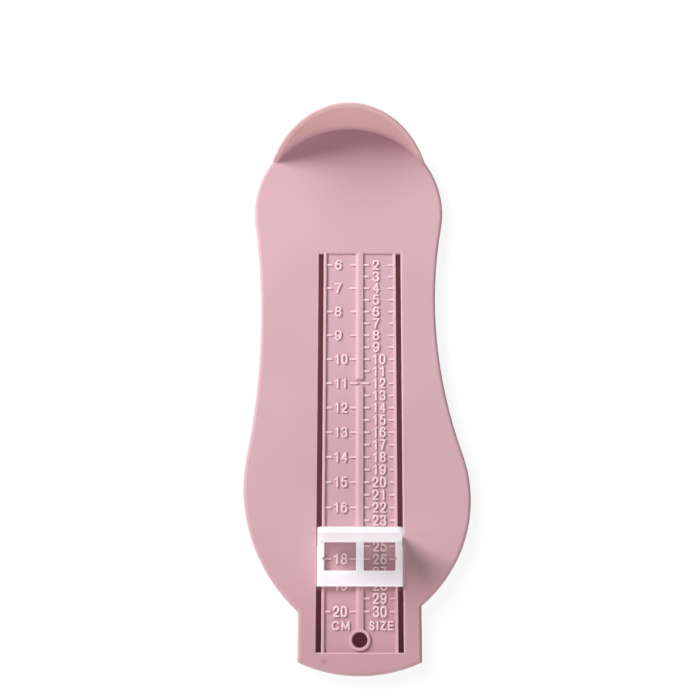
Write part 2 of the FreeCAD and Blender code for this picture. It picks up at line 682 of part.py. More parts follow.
def make_keeper():
    """A plate below the channel strip, with a hole for each leg."""
    body = new_body("slider_keeper")
    plan = new_sketch(body, "keeper_plan", lift=keeper_under)
    rectangle(plan, "plate", f"-{keeper_side}", keeper_side,
              f"-{leg_behind} - size.keeper_rim", f"{leg_ahead} + size.keeper_rim")
    for label, sign in (("left", "-"), ("right", "")):
        rectangle(plan, label, f"{sign}({leg_inside} - size.keeper_gap)",
                  f"{sign}({leg_outside} + size.keeper_gap)",
                  f"-{leg_behind} - size.keeper_gap", f"{leg_ahead} + size.keeper_gap")
    pad(body, "plate", plan, "size.keeper_wall")
    side = number(keeper_side)
    round_edges(body, "keeper_corners", "size.keeper_corner_round",
                lambda points: all_at(points, "y", points[0].y)
                and all(same(abs(point.x), side) for point in points))
    return body


board = make_board()
slider = make_slider()
keeper = make_keeper()
for part in (board, slider, keeper):
    part.setExpression("Placement.Base.x", origin_across)
board.setExpression("Placement.Base.y", origin_along)
for part in (slider, keeper):
    part.setExpression("Placement.Base.y", f"{origin_along} - {slider_reading}")
doc.recompute()

for thing in doc.Objects:
    if "Invalid" in thing.State or "Error" in thing.State:
        raise RuntimeError(f"{thing.Label} failed: {thing.State}")
for part in (board, slider, keeper):
    if part.Shape.isNull() or not part.Shape.isValid() or len(part.Shape.Solids) != 1:
        raise RuntimeError(f"{part.Label} isn't one valid solid")

os.makedirs("parts", exist_ok=True)
for part in (board, slider, keeper):
    part.Shape.exportStep(f"parts/{part.Label}.step")
    box = part.Shape.optimalBoundingBox()
    print(part.Label, "volume", round(part.Shape.Volume), "mm3, from",
          [round(side, 2) for side in (box.XMin, box.YMin, box.ZMin)], "to",
          [round(side, 2) for side in (box.XMax, box.YMax, box.ZMax)])
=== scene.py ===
# %% [markdown]
# # A foot measuring device
# The real thing is a shallow pink moulding in the shape of a foot sole. It has a low curved
# wall for the heel, two scales sunk along its middle, and a white toe stop that slides along
# two slots. The solids already carry its whole shape. This lesson adds what they leave out:
# the raised figures on the scales, the finish of the plastics, a floor, light and a camera.

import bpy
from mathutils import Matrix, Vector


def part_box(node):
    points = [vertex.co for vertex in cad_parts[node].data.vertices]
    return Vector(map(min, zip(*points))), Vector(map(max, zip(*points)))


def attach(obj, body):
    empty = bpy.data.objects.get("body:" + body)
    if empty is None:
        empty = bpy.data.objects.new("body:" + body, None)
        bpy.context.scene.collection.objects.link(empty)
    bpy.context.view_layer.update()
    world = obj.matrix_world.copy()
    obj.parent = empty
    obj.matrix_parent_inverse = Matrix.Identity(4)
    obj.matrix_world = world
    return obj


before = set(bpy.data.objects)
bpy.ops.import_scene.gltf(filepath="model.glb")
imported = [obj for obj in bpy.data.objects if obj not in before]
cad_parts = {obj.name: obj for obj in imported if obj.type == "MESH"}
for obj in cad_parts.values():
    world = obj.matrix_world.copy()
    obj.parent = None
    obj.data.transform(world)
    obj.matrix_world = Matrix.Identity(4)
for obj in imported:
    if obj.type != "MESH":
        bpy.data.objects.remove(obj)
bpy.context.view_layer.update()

# %% [markdown]
# Sizes on this device are read in millimetres, and Blender counts in metres, so one name
# turns one into the other. A second helper rounds lengths to be printed, so that a step can
# show how large its piece came out.

# %% Units
import math

import bmesh
import bpy
from mathutils import Vector
from mathutils.geometry import interpolate_bezier

MM = 0.001


def in_mm(lengths):
    """Lengths in metres as rounded millimetres, to be printed."""
    return [round(length / MM, 2) for length in lengths]


# %% [markdown]
# Everything on the board lines up with its scales, so the figures are placed the way the
# maker's drawing gives them: across from the middle of the scales, and along by the reading.
# The toe stop sits evenly over both scales, which gives their middle. The heel wall is 2 mm
# thick and its inner foot is the zero of the reading. The sunk floor of the scales lies 1 mm
# under the foot surface, and the toe stop reaches 25 mm above it.

# %% Find the scales on the board
HEEL_WALL = 2 * MM
STOP_RISE = 25 * MM
CHANNEL_DEPTH = 1 * MM

_, board_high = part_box("measuring_board")
stop_low, stop_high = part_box("toe_stop_slider")
scale_middle = (stop_low.x + stop_high.x) / 2
zero_reading = board_high.y - HEEL_WALL
foot_surface = stop_high.z - STOP_RISE
channel_floor = foot_surface - CHANNEL_DEPTH


def on_scale(across, reading, height=0.0):
    """A point given in millimetres from the scales' middle, their zero and their floor."""
    return Vector((scale_middle + across * MM, zero_reading - reading * MM,
                   channel_floor + height * MM))


print("middle of the scales:", in_mm([scale_middle]), "reading 60 lies at", in_mm(on_scale(0, 60)))

# %% [markdown]
# The plastics are node materials, and so is the light of the room. A node could be made and
# wired up in four or five lines each time. A few lines that do it for every node keep each
# recipe short enough to read from top to bottom.

# %% A short way to write node recipes
class Recipe:
    """The nodes of a material or of the room, with its shader already in place."""

    def __init__(self, owner, shader):
        owner.use_nodes = True
        self.tree = owner.node_tree
        self.shader = self.tree.nodes[shader]

    def fill(self, socket, value):
        """Gives an input a plain value, or wires another node's output to it."""
        if isinstance(value, bpy.types.NodeSocket):
            self.tree.links.new(value, socket)
        else:
            socket.default_value = value

    def drive(self, **inputs):
        """Fills inputs of the shader, named with _ for each space."""
        for name, value in inputs.items():
            self.fill(self.shader.inputs[name.replace("_", " ")], value)

    def node(self, kind, settings=None, **inputs):
        """A new node, its settings changed and its inputs filled."""
        made = self.tree.nodes.new("ShaderNode" + kind)
        for setting, value in (settings or {}).items():
            setattr(made, setting, value)
        for name, value in inputs.items():
            self.fill(made.inputs[name.replace("_", " ")], value)
        return made

    def reckon(self, operation, *values):
        """One step of arithmetic."""
        step = self.node("Math", {"operation": operation})
        for index, value in enumerate(values):
            self.fill(step.inputs[index], value)
        return step.outputs["Value"]

    def ramp(self, value, start, end, curve="LINEAR"):
        """Nought up to the start, one from the end on, and a slope in between."""
        slope = self.node("MapRange", {"interpolation_type": curve}, Value=value,
                          From_Min=start, From_Max=end)
        return slope.outputs["Result"]

    def mix(self, share, under, over, blend="MIX"):
        """One colour laid over another, as far as the share says."""
        mixed = self.node("MixRGB", {"blend_type": blend}, Fac=share, Color1=under, Color2=over)
        return mixed.outputs["Color"]


print("kinds of step in a recipe: node, reckon, ramp, mix")

# %% [markdown]
# Colours are easiest to compare in the usual 0 to 255, but shaders reckon in linear light,
# where a middle grey is much lower. So every colour here is written the first way and turned
# into the second as it is named.

# %% Colours
def from_srgb(red, green, blue):
    """A colour written in 0 to 255, as the linear colour that shaders use."""
    linear = []
    for part in (red, green, blue):
        share = part / 255
        linear.append(share / 12.92 if share <= 0.04045 else ((share + 0.055) / 1.055) ** 2.4)
    return (*linear, 1.0)


print("a middle grey as a shader sees it:", round(from_srgb(128, 128, 128)[0], 3))

# %% [markdown]
# Every surface here starts as a material with its main shader. One with a pattern also needs
# the place of each of its points, whole and split into the three axes. The pattern is tied to
# that place and not to an image, so it runs over all edges and stays put when a piece moves.
#
# The skin of a plastic gets its finish in two steps. A pattern decides how rough each spot
# is, and a very fine grain tilts the surface a little, as the spark-cut mould leaves it.

# %% What every surface starts with
def plain_recipe(name, **shader_inputs):
    """A new material with some inputs of its shader filled."""
    material = bpy.data.materials.new(name)
    recipe = Recipe(material, "Principled BSDF")
    recipe.material = material
    recipe.drive(**shader_inputs)
    return recipe


def patterned_recipe(name, **shader_inputs):
    """The same, with the places on its surface ready for patterns."""
    recipe = plain_recipe(name, **shader_inputs)
    recipe.place = recipe.node("TexCoord").outputs["Object"]
    recipe.axes = recipe.node("SeparateXYZ", Vector=recipe.place).outputs
    return recipe


def noise(recipe, **settings):
    """A cloudy pattern."""
    return recipe.node("TexNoise", Vector=recipe.place, **settings).outputs["Fac"]


def shine(recipe, pattern, smoothest, roughest):
    """Spreads the roughness of the skin over a pattern."""
    spread = recipe.node("MapRange", Value=pattern, To_Min=smoothest, To_Max=roughest)
    recipe.drive(Roughness=spread.outputs["Result"])


def grain_relief(recipe, grain, strength, depth):
    """Tilts the skin where a pattern rises and falls. The depth is in metres."""
    relief = recipe.node("Bump", Strength=strength, Distance=depth, Height=grain)
    recipe.drive(Normal=relief.outputs["Normal"])


print("a pattern sets the shine, and its relief the grain")

# %% [markdown]
# Many details of the pink plastic lie in one spot or strip of the board. It could be cut into
# zones with a material each, but the solids keep their own meshes. So a node compares the
# place with a few limits, all given as they are read on the scales, and says how far the
# detail is there: one inside, nought outside, and a slope between the two.

# %% Pick out a part of the board
THIN_FROM = 5  # mm above the foot surface, where the heel wall counts as thin


def between(recipe, axis, places):
    """One between the middle two of four places on an axis, nought outside the outer two."""
    rise = recipe.ramp(recipe.axes[axis], places[0], places[1])
    fall = recipe.ramp(recipe.axes[axis], places[3], places[2])
    return recipe.reckon("MULTIPLY", rise, fall)


def at_distances(recipe, distances):
    """Picks distances from the middle of the scales, in mm from left to right."""
    return between(recipe, "X", [on_scale(distance, 0).x for distance in distances])


def at_readings(recipe, readings):
    """Picks readings, from the toe end to the heel."""
    return between(recipe, "Y", [on_scale(0, reading).y for reading in readings])


def at_heights(recipe, base, heights):
    """Picks heights in mm over a base, from low to high."""
    return between(recipe, "Z", [base + height * MM for height in heights])


def near(recipe, spot, far, close):
    """One up to close mm from a spot on the foot surface, nought from far mm on."""
    away = recipe.node("VectorMath", {"operation": "DISTANCE"})
    recipe.fill(away.inputs[0], recipe.place)
    recipe.fill(away.inputs[1], on_scale(*spot, CHANNEL_DEPTH / MM))
    return recipe.ramp(away.outputs["Value"], far * MM, close * MM, "SMOOTHSTEP")


def up_the_wall(recipe):
    """Nought at the foot surface, one where the heel wall is fully thin."""
    return recipe.ramp(recipe.axes["Z"], foot_surface, foot_surface + THIN_FROM * MM)


print("the heel wall counts as thin from", THIN_FROM, "mm above the foot surface")

# %% [markdown]
# The board is pink polypropylene, a waxy plastic with a satin skin. Its colour is almost even,
# with broad faint clouds where the melt flowed. A little light enters the plastic, and some of it
# passes the thin heel wall; that light is painted in, making the wall paler and warmer than the
# rest. Painted shade darkens the floor inside the heel wall, where the wall's shadow falls, and
# the toe end past the toe stop, where the light is weaker.
#
# Each of these is one layer: a function that takes the colour so far and gives the next one.
# Layers can be read, tried and left out one by one.

# %% The colour of the pink plastic
PINK = from_srgb(217, 176, 186)
PINK_CLOUD = from_srgb(212, 170, 180)
# painted light: the heel wall is paler and warmer where light passes through it
PINK_PAINTED_GLOW = from_srgb(226, 183, 183)
# painted shade: the board is darker towards the toe end, where the light is weaker
TOE_END_SHADE_PAINT = from_srgb(248, 236, 238)  # how much of each colour is left
TOE_DEEPENS = (165, 200)  # the readings between which it sets in
# painted shadow of the heel wall on the floor inside it
HEEL_WALL_SHADOW_PAINT = from_srgb(235, 230, 231)
HEEL_SPOT = (0, 8)  # across and reading
HEEL_DEEPENS = (42, 11)  # mm from that spot, between which it sets in


def melt_clouds(recipe, colour):
    """Broad faint clouds."""
    clouds = noise(recipe, Scale=26.0, Detail=3.0, Roughness=0.45)
    return recipe.mix(recipe.ramp(clouds, 0.35, 0.7), colour, PINK_CLOUD)


def thin_wall(recipe, colour):
    """Painted light: the heel wall paler and warmer, as light passes through it."""
    return recipe.mix(up_the_wall(recipe), colour, PINK_PAINTED_GLOW)


def toe_shade(recipe, colour):
    """Painted shade: the toe end darker, where the light is weaker."""
    start, end = (on_scale(0, reading).y for reading in TOE_DEEPENS)
    return recipe.mix(recipe.ramp(recipe.axes["Y"], start, end), colour, TOE_END_SHADE_PAINT, "MULTIPLY")


def heel_shade(recipe, colour):
    """Painted shadow of the heel wall on the floor inside it."""
    off_the_wall = recipe.reckon("SUBTRACT", 1.0, up_the_wall(recipe))
    share = recipe.reckon("MULTIPLY", near(recipe, HEEL_SPOT, *HEEL_DEEPENS), off_the_wall)
    return recipe.mix(share, colour, HEEL_WALL_SHADOW_PAINT, "MULTIPLY")


print("the toe end is deeper past reading", TOE_DEEPENS[0])

# %% [markdown]
# The marks and figures stand out because their rounded crests catch the light, and that highlight
# is painted on their tops, which come out paler. They could have a material of their own, but the
# marks are part of the board's solid. Their height over the floor of the channel picks them out.
# It also catches a thin line of the board's rounded edge, which gets the same painted highlight.

# %% Painted highlights on the crests
MARK_RISE = 0.5  # mm above the channel floor
FIGURE_RISE = 0.75
# painted highlights on the tops of the marks and figures
MARK_CREST_HIGHLIGHT = from_srgb(247, 213, 220)
FIGURE_CREST_HIGHLIGHT = from_srgb(253, 219, 225)
CREST_BAND = (0.3, 0.7, 1.05, 1.1)  # shares of the rise between which a crest is pale


def pale_crest(recipe, colour, rise, crest):
    """Paints a highlight on top of what rises that high."""
    band = [share * rise for share in CREST_BAND]
    return recipe.mix(at_heights(recipe, channel_floor, band), colour, crest)


def mark_crests(recipe, colour):
    """The painted highlights on the tops of the marks."""
    return pale_crest(recipe, colour, MARK_RISE, MARK_CREST_HIGHLIGHT)


def figure_crests(recipe, colour):
    """The painted highlights on the tops of the figures."""
    return pale_crest(recipe, colour, FIGURE_RISE, FIGURE_CREST_HIGHLIGHT)


print("marks rise", MARK_RISE, "mm and figures", FIGURE_RISE, "mm")

# %% [markdown]
# The toe stop rides on the ribs beside its two slots and on the rib between the scales. Their
# rounded edges catch the light, and that highlight is painted on them as pale lines. These lines
# run the whole length of the slots, so the distance from the middle of the scales picks them out:
# each entry of the ramp below is such a distance, in millimetres, and how pale the highlight is
# painted there.

# %% The painted highlights on the ribs
# painted highlights along the rounded edges of the ribs
RIB_HIGHLIGHT_LINES = [(-17.4, 0), (-17.1, 0.35), (-16.8, 0.35), (-14.75, 0.6), (-14.3, 0.5), (-13.8, 0),
                (-1.5, 0.45), (-1.1, 0.85), (-0.4, 0.5), (0.0, 0), (1.1, 0), (1.4, 0.35),
                (1.6, 0), (13.6, 0), (13.9, 0.7), (14.75, 0.7), (16.8, 0.8), (17.2, 0.6),
                (17.6, 0)]
RIB_HIGHLIGHT_HALF = 20  # mm to each side that the ramp spans
SLOT_READINGS = (215.8, 215.2, 55.4, 54.8)


def rib_wear(recipe):
    """How pale the painted highlight is on each line along the slots."""
    left, right = (on_scale(side, 0).x for side in (-RIB_HIGHLIGHT_HALF, RIB_HIGHLIGHT_HALF))
    lines = recipe.node("ValToRGB", Fac=recipe.ramp(recipe.axes["X"], left, right))
    stops = lines.color_ramp.elements
    stops[0].color = stops[1].color = (0, 0, 0, 1)
    for distance, paleness in RIB_HIGHLIGHT_LINES:
        stop = stops.new((distance + RIB_HIGHLIGHT_HALF) / (2 * RIB_HIGHLIGHT_HALF))
        stop.color = (paleness, paleness, paleness, 1)
    return recipe.reckon("MULTIPLY", lines.outputs["Color"], at_readings(recipe, SLOT_READINGS))


print("rubbed lines are given at", len(RIB_HIGHLIGHT_LINES), "distances")

# %% [markdown]
# The sharp edge at the toe end of the scales and the ring round the hanging hole catch the light
# too, and get the same painted highlight. Where two of these meet, the paler one counts. All of
# them lie level with the foot surface, so a narrow band of heights leaves out what lies lower.
#
# The pin that pushed the moulding out of its mould left a small dull round on the toe end.

# %% All painted edge highlights, and the pin's mark
# painted highlight colour for the edges that catch the light
EDGE_HIGHLIGHT = from_srgb(243, 208, 215)
FOOT_LEVEL = (-0.4, -0.3, 0.1, 0.2)  # mm round the foot surface
EDGE_READINGS = (216.0, 215.8, 215.4, 215.2)
EDGE_DISTANCES = (-16.8, -16.2, 16.8, 17.4)
EDGE_PALE = 0.9
HOLE = (0, 210.65)  # across and reading
RING_REACH = (4.5, 3.9)  # mm from its middle, far and close
RING_PALE = 0.45
PIN_DULL = from_srgb(205, 161, 171)
PIN = (-13.5, 218.8)
PIN_REACH = (1.15, 0.7)


def edge_wear(recipe):
    """How pale the painted highlight on the edge at the toe end of the scales is."""
    edge = recipe.reckon("MULTIPLY", at_readings(recipe, EDGE_READINGS),
                         at_distances(recipe, EDGE_DISTANCES))
    return recipe.reckon("MULTIPLY", edge, EDGE_PALE)


def rubbed_edges(recipe, colour):
    """Paints the highlights on every edge that catches the light."""
    ring = recipe.reckon("MULTIPLY", near(recipe, HOLE, *RING_REACH), RING_PALE)
    palest = recipe.reckon("MAXIMUM", rib_wear(recipe), edge_wear(recipe))
    palest = recipe.reckon("MAXIMUM", palest, ring)
    level = at_heights(recipe, foot_surface, FOOT_LEVEL)
    return recipe.mix(recipe.reckon("MULTIPLY", palest, level), colour, EDGE_HIGHLIGHT)


def pin_mark(recipe, colour):
    """The dull round that the pin left."""
    return recipe.mix(near(recipe, PIN, *PIN_REACH), colour, PIN_DULL)


print("the pin's mark is", 2 * PIN_REACH[0], "mm wide")

# %% [markdown]
# The board and its figures are one moulding, yet the figures carry the palest painted highlights
# of it, also at the toe end. So there are two recipes made of such layers. In the second, the
# painted shade of the toe end comes before the painted crest highlights and doesn't reach them.

# %% The two pink recipes
def pink_plastic(name, layers):
    """Satin pink plastic with a fine grain, coloured by its layers in turn."""
    recipe = patterned_recipe(name, Specular_IOR_Level=0.35, Subsurface_Weight=0.12,
                              Subsurface_Radius=(1, 0.6, 0.6), Subsurface_Scale=1.5 * MM)
    colour = PINK
    for layer in layers:
        colour = layer(recipe, colour)
    recipe.drive(Base_Color=colour)
    grain = noise(recipe, Scale=2600.0, Detail=2.0, Roughness=0.6)
    shine(recipe, grain, smoothest=0.44, roughest=0.58)
    grain_relief(recipe, grain, strength=0.12, depth=0.08 * MM)
    return recipe.material


board_plastic = pink_plastic("pink_board_plastic", [melt_clouds, thin_wall, mark_crests,
                                                    rubbed_edges, pin_mark, toe_shade, heel_shade])
figure_plastic = pink_plastic("pink_figure_plastic", [melt_clouds, toe_shade, figure_crests])
print("nodes in the board plastic:", len(board_plastic.node_tree.nodes))

# %% [markdown]
# The toe stop is white plastic. White shows every change of light, so its own variation is kept
# very small: a hint of cloud, and a skin that is a touch smoother than the board's because the
# small mould is polished all over. It also gets a painted glow, which lifts its shaded sides; a
# little of that glow stands for the brightener that white plastics hold. The keeper under the
# board is seen only through the slots, where it lies in shade, so its plastic is painted a dark
# dusky pink that stands for that shade.

# %% The white plastic and the keeper's
WHITE = from_srgb(223, 221, 223)
WHITE_CLOUD = from_srgb(218, 216, 219)
# painted glow that lifts the shaded sides of the white plastic
PAINTED_GLOW_STRENGTH = 0.26
PAINTED_GLOW_COLOUR = from_srgb(252, 250, 255)
# painted shade: the keeper's plastic is dark so that it reads as the shade in the slots
KEEPER_SHADE_PAINT = from_srgb(160, 100, 107)
KEEPER_SHADE_PAINT_CLOUD = from_srgb(152, 94, 101)


def smooth_plastic(name, colour, cloud, **shader_inputs):
    """Smooth plastic with a hint of cloud in its colour and shine."""
    recipe = patterned_recipe(name, **shader_inputs)
    clouds = noise(recipe, Scale=90.0, Detail=2.0, Roughness=0.5)
    recipe.drive(Base_Color=recipe.mix(clouds, colour, cloud))
    grain = noise(recipe, Scale=1800.0, Detail=2.0)
    shine(recipe, clouds, smoothest=0.34, roughest=0.46)
    grain_relief(recipe, grain, strength=0.06, depth=0.05 * MM)
    return recipe.material


stop_plastic = smooth_plastic("white_stop_plastic", WHITE, WHITE_CLOUD, Subsurface_Weight=0.8,
                              Subsurface_Radius=(1, 1, 1), Subsurface_Scale=6 * MM,
                              Emission_Color=PAINTED_GLOW_COLOUR, Emission_Strength=PAINTED_GLOW_STRENGTH)
keeper_plastic = smooth_plastic("dusky_keeper_plastic", KEEPER_SHADE_PAINT, KEEPER_SHADE_PAINT_CLOUD)
print("nodes in the white plastic:", len(stop_plastic.node_tree.nodes))

# %% [markdown]
# Each solid is one moulding, so one plastic covers it all over. The solids keep their own
# meshes, and only what covers them changes.

# %% Cover the solids
COVERS = {
    "measuring_board": board_plastic,
    "toe_stop_slider": stop_plastic,
    "slider_keeper": keeper_plastic,
}


def cover(node, material):
    """Puts one material all over a solid."""
    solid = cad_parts[node]
    solid.data.materials.clear()
    solid.data.materials.append(material)


for node, material in COVERS.items():
    cover(node, material)
    print(node, "is covered with", material.name)

# %% [markdown]
# The figures are raised from the floor of the channel. In the mould they are cut by a small
# round-nosed cutter that follows each figure once, so every stroke is equally wide, has a
# round crest and ends in a half circle. A text object would give flat-topped letters with
# square ends. It is closer to the real thing to write down the path of the cutter for each
# figure and to sweep its section along it.
#
# A path is a list of points in a cell that is 1 wide and 1 high. Two points are a straight
# cut. With more, the cutter runs smoothly through all of them, and where the last point is
# the first again it closes the loop.

# %% The cutter's paths for the figures
LOOP_STRETCHES = 8


def loop(middle, wide, high):
    """An oval path round a middle height of the cell, from half its width and half its height."""
    turns = [2 * math.pi * step / LOOP_STRETCHES for step in range(LOOP_STRETCHES + 1)]
    return [(0.5 + wide * math.cos(turn), middle + high * math.sin(turn)) for turn in turns]


def turned(strokes):
    """The same figure upside down, as a 9 is a 6."""
    return [[(1 - across, 1 - up) for across, up in stroke] for stroke in strokes]


SIX = [loop(0.31, 0.5, 0.31), [(0.94, 0.8), (0.8, 0.95), (0.52, 1), (0.2, 0.87), (0.03, 0.6),
                              (0, 0.31)]]
FIGURES = {
    "0": [[(1, 0.5), (0.97, 0.76), (0.8, 0.95), (0.5, 1), (0.2, 0.95), (0.03, 0.76), (0, 0.5),
           (0.03, 0.24), (0.2, 0.05), (0.5, 0), (0.8, 0.05), (0.97, 0.24), (1, 0.5)]],
    "1": [[(0.64, 1), (0.64, 0)], [(0.16, 0.76), (0.36, 0.79), (0.54, 0.87), (0.64, 1)]],
    "2": [[(0.02, 0.7), (0.14, 0.92), (0.5, 1), (0.86, 0.92), (0.97, 0.71), (0.84, 0.51),
           (0.5, 0.31), (0.16, 0.14), (0, 0)], [(0, 0), (1, 0)]],
    "3": [[(0.04, 0.79), (0.18, 0.95), (0.5, 1), (0.82, 0.93), (0.92, 0.75), (0.78, 0.58),
           (0.42, 0.53)],
          [(0.42, 0.53), (0.82, 0.47), (1, 0.28), (0.86, 0.07), (0.5, 0), (0.14, 0.07),
           (0, 0.26)]],
    "4": [[(0.76, 1), (0.76, 0)], [(0.76, 1), (0, 0.29)], [(0, 0.29), (1, 0.29)]],
    "5": [[(0.9, 1), (0.2, 1)], [(0.2, 1), (0.08, 0.5)],
          [(0.08, 0.5), (0.28, 0.62), (0.56, 0.65), (0.87, 0.56), (1, 0.33), (0.87, 0.08),
           (0.5, 0), (0.14, 0.07), (0, 0.25)]],
    "6": SIX,
    "7": [[(0, 1), (1, 1)], [(1, 1), (0.7, 0.68), (0.47, 0.33), (0.37, 0)]],
    "8": [loop(0.765, 0.43, 0.235), loop(0.265, 0.5, 0.265)],
    "9": turned(SIX),
    "C": [[(0.94, 0.76), (0.8, 0.94), (0.5, 1), (0.16, 0.87), (0, 0.5), (0.16, 0.13), (0.5, 0),
           (0.82, 0.07), (0.97, 0.28)]],
    "M": [[(0, 0), (0, 1)], [(0, 1), (0.5, 0.08)], [(0.5, 0.08), (1, 1)], [(1, 1), (1, 0)]],
    "S": [[(0.93, 0.77), (0.79, 0.94), (0.48, 1), (0.17, 0.93), (0.06, 0.75), (0.2, 0.59),
           (0.5, 0.51), (0.82, 0.42), (0.98, 0.24), (0.82, 0.05), (0.5, 0), (0.14, 0.06),
           (0, 0.25)]],
    "I": [[(0.5, 0), (0.5, 1)]],
    "Z": [[(0, 1), (1, 1)], [(1, 1), (0, 0)], [(0, 0), (1, 0)]],
    "E": [[(0, 0), (0, 1)], [(0, 1), (1, 1)], [(0, 0.52), (0.9, 0.52)], [(0, 0), (1, 0)]],
}
print("figures and letters:", "".join(sorted(FIGURES)))

# %% [markdown]
# Between two points of a path the cutter follows a Bezier curve. Its two handles come from
# the neighbouring points, which makes the next stretch leave in the same direction as the
# last one arrived. Blender's own function then gives the points on that curve.

# %% Smooth the cutter's path
CURVE_POINTS = 6  # points on each stretch of a curved path
HANDLE_PART = 6  # the way between the two neighbours, divided by this, gives a handle
SAME_SPOT = 0.01 * MM


def is_closed(path):
    """Says whether a path ends where it began."""
    return len(path) > 2 and (path[0] - path[-1]).length < SAME_SPOT


def smooth_path(points):
    """The points that a smooth line through the given ones passes."""
    if len(points) == 2:
        return points
    before = points[-2] if is_closed(points) else points[0]
    after = points[1] if is_closed(points) else points[-1]
    padded = [before, *points, after]
    path = [points[0]]
    for first, start, end, last in zip(padded, padded[1:], padded[2:], padded[3:]):
        stretch = interpolate_bezier(start, start + (end - first) / HANDLE_PART,
                                     end - (last - start) / HANDLE_PART, end, CURVE_POINTS)
        path.extend(stretch[1:])
    return path


sample = smooth_path([Vector((across, up, 0)) * MM for across, up in FIGURES["2"][0]])
print("the bow of a 2 has", len(FIGURES["2"][0]), "points as written and", len(sample), "swept")

# %% [markdown]
# A round-nosed cutter leaves the same outline at every depth, only narrower the deeper it is
# cut. So a stroke is built from loops that run beside its path at several distances, with
# half circles at both ends. A closed path has one loop on each side instead.

# %% Loops beside a path
CAP_STEPS = 6  # stretches in the half circle at the end of a stroke


def side_vectors(path, closed):
    """For each point of a path, the direction to its left."""
    aside = []
    for index, point in enumerate(path):
        before = path[index - 1] if index or closed else point
        after = path[(index + 1) % len(path)] if index + 1 < len(path) or closed else point
        ahead = (after - before).normalized()
        aside.append(Vector((-ahead.y, ahead.x, 0)))
    return aside


def half_circle(middle, aside, distance):
    """The points of the round end, without its first and last one."""
    ahead = Vector((aside.y, -aside.x, 0))
    turns = [math.pi * step / CAP_STEPS for step in range(1, CAP_STEPS)]
    return [middle + (aside * math.cos(turn) + ahead * math.sin(turn)) * distance
            for turn in turns]


def loops_beside(path, closed, distance):
    """The loops that run beside a path: one on each side if it is closed, else one round it."""
    aside = side_vectors(path, closed)
    left = [point + side * distance for point, side in zip(path, aside)]
    right = [point - side * distance for point, side in zip(path, aside)]
    if closed:
        return [left, right]
    far_end = half_circle(path[-1], aside[-1], distance)
    near_end = half_circle(path[0], -aside[0], distance)
    return [left + far_end + right[::-1] + near_end]


print("a half circle has", CAP_STEPS, "stretches")

# %% [markdown]
# The section of a stroke is given as distances from its middle and heights over the floor of
# the channel: steep sides that lean in a little so that the part leaves the mould, and a
# round crest. For each of them a loop is drawn, and neighbouring loops are joined by faces.
# Where the distance is nought the two sides meet, and their points are welded later.

# %% Sweep a stroke along its path
STROKE_HALF = 0.31
SECTION = [(0, -0.1), (STROKE_HALF, -0.1), (0.3, 0.2), (0.27, 0.46), (0.2, 0.65), (0.1, 0.73),
           (0, FIGURE_RISE)]


def join_loops(mesh, lower, upper):
    """Adds the faces between two loops of a bmesh."""
    for index, corner in enumerate(lower):
        following = (index + 1) % len(lower)
        mesh.faces.new((corner, lower[following], upper[following], upper[index]))


def sweep_stroke(mesh, path, boldness):
    """Adds one raised stroke to a bmesh. Boldness widens the section."""
    closed = is_closed(path)
    if closed:
        path = path[:-1]
    below = []
    for distance, height in SECTION:
        above = [[mesh.verts.new(point + Vector((0, 0, height * MM))) for point in line]
                 for line in loops_beside(path, closed, distance * boldness * MM)]
        for lower, upper in zip(below, above):
            join_loops(mesh, lower, upper)
        below = above


print("a stroke is", 2 * STROKE_HALF, "mm wide and", FIGURE_RISE, "mm high")

# %% [markdown]
# A number is a row of such figures on one line. Each becomes its own mesh, named for what it
# reads, so that a single number can be found, hidden or moved. The points are welded, the
# faces turned to look outwards and shaded smooth.

# %% Write a number
WELD = 0.002 * MM


def raised_number(name, text, left, reading, cell, gap, high, boldness):
    """A raised number or word, centred on a reading, with its left edge as given, in mm."""
    mesh = bmesh.new()
    stroke = 2 * STROKE_HALF * boldness
    start = left
    for letter in text:
        wide = stroke if letter == "I" else cell
        for stroke_points in FIGURES[letter]:
            points = [on_scale(start + stroke / 2 + across * (wide - stroke),
                               reading - (up - 0.5) * (high - stroke))
                      for across, up in stroke_points]
            sweep_stroke(mesh, smooth_path(points), boldness)
        start += wide + gap
    bmesh.ops.remove_doubles(mesh, verts=mesh.verts, dist=WELD)
    bmesh.ops.recalc_face_normals(mesh, faces=mesh.faces)
    for face in mesh.faces:
        face.smooth = True
    data = bpy.data.meshes.new(name)
    mesh.to_mesh(data)
    mesh.free()
    number = bpy.data.objects.new(name, data)
    bpy.context.scene.collection.objects.link(number)
    number.data.materials.append(figure_plastic)
    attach(number, "board")
    return number


print("points closer than", in_mm([WELD])[0], "mm are welded")

# %% [markdown]
# The left scale counts centimetres from 6 to 20. The right one counts shoe sizes from 2 to
# 30, two to a centimetre: each size is twice the centimetres less ten. Numbers are centred
# on their marks. Single figures are cut wider, and keep to the left of their column.

# %% The numbers of both scales
NUMBER_CUT = {"gap": 0.26, "high": 4.5, "boldness": 1.45}
CELL = {1: 3.0, 2: 2.7}  # by how many figures the number has, as are the columns' left edges
LEFT_COLUMN = {1: -10.15, 2: -10.35}
RIGHT_COLUMN = {1: 5.2, 2: 4.9}
CENTIMETRES = range(6, 21)
SHOE_SIZES = range(2, 31)
CENTIMETRE = 10  # mm
SIZE_STEP = 5  # mm
SIZES_BEFORE_ZERO = 10


def scale_number(kind, number, column, reading):
    """One number of a scale, in its column."""
    figures = len(str(number))
    return raised_number(f"{kind}_{number:02d}", str(number), column[figures], reading,
                         CELL[figures], **NUMBER_CUT)


